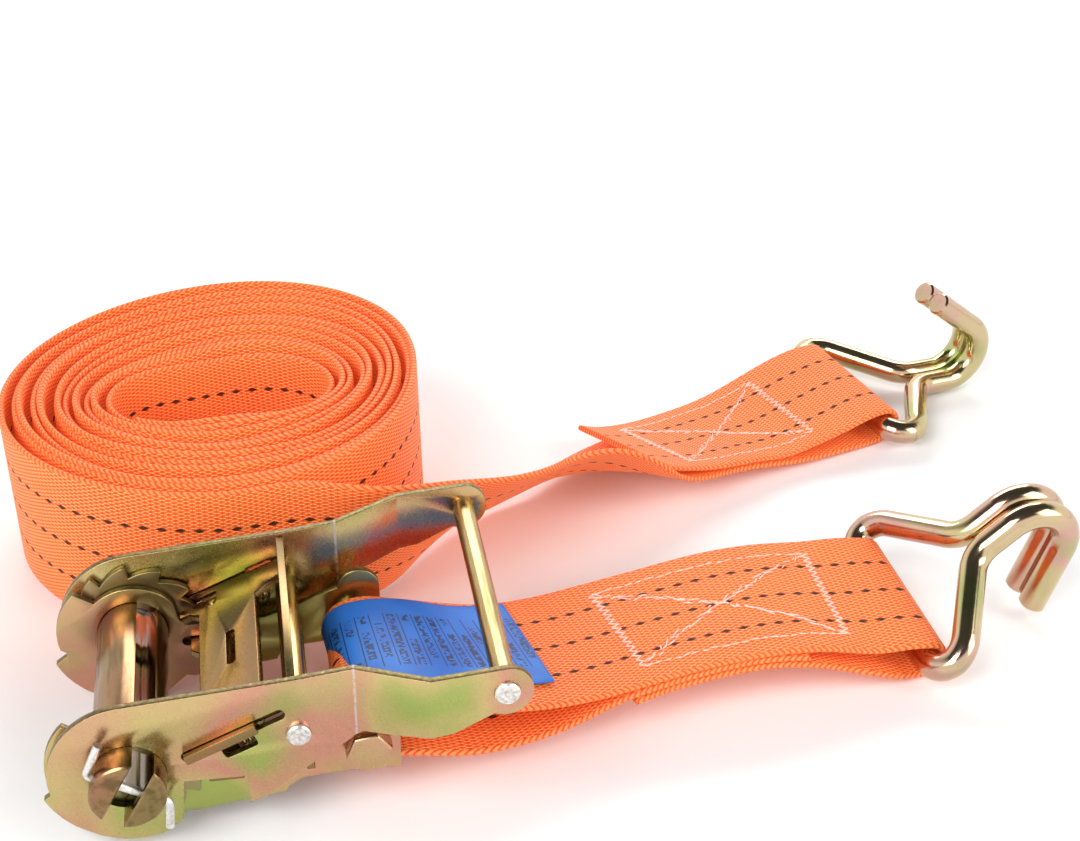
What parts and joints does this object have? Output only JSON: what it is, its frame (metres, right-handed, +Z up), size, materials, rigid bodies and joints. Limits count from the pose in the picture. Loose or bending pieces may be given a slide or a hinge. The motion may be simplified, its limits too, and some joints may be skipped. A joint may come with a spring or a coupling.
{
  "type": "ratchet strap",
  "caption": "Two-piece ratchet lashing strap: ratchet buckle with a short hooked strap and a long coiled strap, both ending in double-J wire hooks.",
  "frame": {"origin": "on the ground under the middle of the whole strap's bounding box", "axes": "+X from the ratchet's spindle towards its grip and the hooks, +Y from the ratchet towards the coiled strap, +Z up"},
  "size_m": [0.3375, 0.2356, 0.0527],
  "materials": {
    "zinc_plate": "yellow chromate zinc, satin",
    "zinc_spindle": "yellow chromate zinc, turned",
    "zinc_wheel": "yellow chromate zinc, stamped",
    "zinc_wire": "yellow chromate zinc, glossy",
    "bright_zinc": "bright zinc",
    "spring_steel": "yellow chromate zinc wire",
    "webbing": "woven polyester",
    "label_blue": "coated label cloth"
  },
  "bodies": {
    "frame": {"frame_plate_near": "zinc_plate", "frame_plate_far": "zinc_plate", "hex_bolt": "zinc_plate", "hex_nut": "zinc_plate", "bolt_sleeve": "zinc_spindle", "spring_seat": "zinc_plate", "lock_pawl_spring": "spring_steel"},
    "lock_pawl": {"lock_pawl": "zinc_plate"},
    "spindle": {"spindle_half_left": "zinc_spindle", "spindle_half_right": "zinc_spindle", "ratchet_wheel_near": "zinc_wheel", "ratchet_wheel_far": "zinc_wheel", "cotter_pins": "bright_zinc"},
    "handle": {"handle_plate_near": "zinc_plate", "handle_plate_far": "zinc_plate", "tie_rod": "bright_zinc", "grip_bar": "bright_zinc", "drive_pawl_springs": "spring_steel"},
    "drive_pawl": {"drive_pawl": "zinc_plate"},
    "fixed_strap": {"fixed_strap": "webbing", "strap_label": "label_blue"},
    "near_hook": {"near_hook": "zinc_wire"},
    "long_strap": {"long_strap": "webbing", "long_strap_coil": "webbing"},
    "far_hook": {"far_hook": "zinc_wire"}
  },
  "joints": [
    {"name": "handle_pivot", "type": "hinge", "parent": "frame", "child": "handle", "pos_m": [-0.13126, -0.07268, 0.0235], "axis": [0, -1, 0], "range_deg": [0, 165]},
    {"name": "drive_pawl_slide", "type": "slide", "parent": "handle", "child": "drive_pawl", "axis": [0.9178, 0, 0.3971], "range_m": [0, 0.0062], "stiffness_N_per_m": 900, "deforming": ["drive_pawl_springs"]},
    {"name": "spindle_spin", "type": "hinge", "parent": "frame", "child": "spindle", "pos_m": [-0.13126, -0.07268, 0.0235], "axis": [0, -1, 0], "continuous": true},
    {"name": "lock_pawl_slide", "type": "slide", "parent": "frame", "child": "lock_pawl", "axis": [1, 0, 0], "range_m": [-0.0014, 0.0054], "stiffness_N_per_m": 900, "deforming": ["lock_pawl_spring"]},
    {"name": "fixed_strap_pivot", "type": "hinge", "parent": "frame", "child": "fixed_strap", "pos_m": [-0.07146, -0.07268, 0.0223], "axis": [0, -1, 0], "range_deg": [-25, 25]},
    {"name": "near_hook_swing", "type": "hinge", "parent": "fixed_strap", "child": "near_hook", "pos_m": [0.08624, -0.04788, 0.0102], "axis": [0.1243, -0.9839, -0.1288], "range_deg": [-110, 60]},
    {"name": "long_strap_away", "type": "slide", "parent": "frame", "child": "long_strap", "axis": [0, 1, 0], "range_m": [0, 0.3]},
    {"name": "far_hook_swing", "type": "hinge", "parent": "long_strap", "child": "far_hook", "pos_m": [0.11224, 0.08322, 0.0086], "axis": [0.3049, -0.9497, -0.0715], "range_deg": [-60, 105]}
  ]
}
